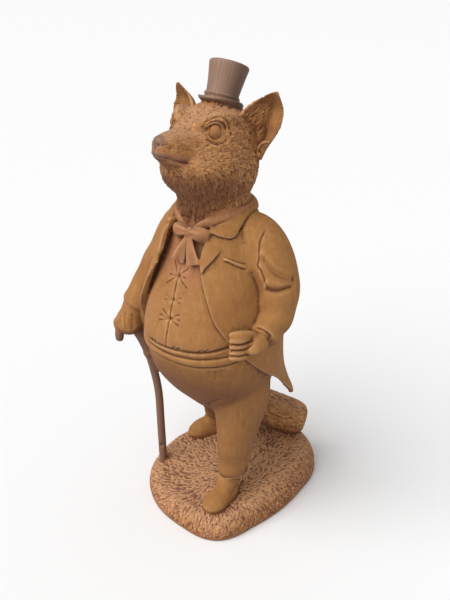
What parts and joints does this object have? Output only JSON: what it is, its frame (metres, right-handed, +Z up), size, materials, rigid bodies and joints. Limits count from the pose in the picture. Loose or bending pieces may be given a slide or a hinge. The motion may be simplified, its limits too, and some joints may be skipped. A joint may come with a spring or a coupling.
{
  "type": "garden figure",
  "caption": "Cast iron garden figure of a standing fox in tail coat, waistcoat, bow tie and top hat, with a walking cane, on a grassy mound.",
  "frame": {"origin": "on the flat underside of the mound, under the point that its outline is measured from", "axes": "+Z up, -Y the way the fox looks, +X the fox's own left"},
  "size_m": [0.1838, 0.1943, 0.4397],
  "materials": {
    "rusted_iron": "rough cast iron with an even orange-brown rust patina, darker in the hollows and worn greyish brown on the hat, nose, hands and cane"
  },
  "bodies": {
    "root": {"fox_statue": "rusted_iron"}
  },
  "joints": []
}
